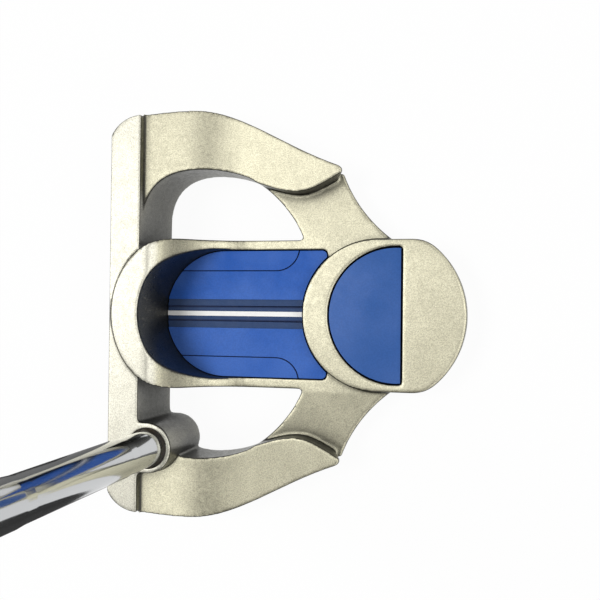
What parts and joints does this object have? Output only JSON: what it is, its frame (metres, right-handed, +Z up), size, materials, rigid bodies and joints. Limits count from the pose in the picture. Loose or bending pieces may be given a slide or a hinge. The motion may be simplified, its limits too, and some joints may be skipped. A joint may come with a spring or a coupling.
{
  "type": "mallet putter",
  "caption": "Mallet putter with a cast head, side wings, a bowl with a coloured sighting plate, a round tail with an inlay, a bent stepped shaft and a rubber grip.",
  "frame": {"origin": "on the sole plane, on the head's centreline, under the middle of the face bar's top", "axes": "+Z up from the sole, -X out of the face, +Y towards the toe, shaft leaning towards -Y"},
  "size_m": [0.0948, 0.3481, 0.8266],
  "materials": {
    "cast_metal": "bead-blasted satin",
    "blue_plastic": "moulded satin",
    "insert_plastic": "satin",
    "bonding_film": "clear film",
    "white_paint": "paint fill",
    "bond": "set adhesive",
    "chrome_tube": "polished chrome plate",
    "tape": "paper tape",
    "grip_rubber": "matte rubber"
  },
  "bodies": {
    "root": {"head_casting": "cast_metal", "face_insert": "insert_plastic", "face_insert_film": "bonding_film", "cavity_plate": "blue_plastic", "cavity_plate_film": "bonding_film", "sight_line": "white_paint", "tail_inlay": "blue_plastic", "tail_inlay_film": "bonding_film", "hosel_bond": "bond", "shaft": "chrome_tube", "grip_tape": "tape", "grip": "grip_rubber"}
  },
  "joints": []
}
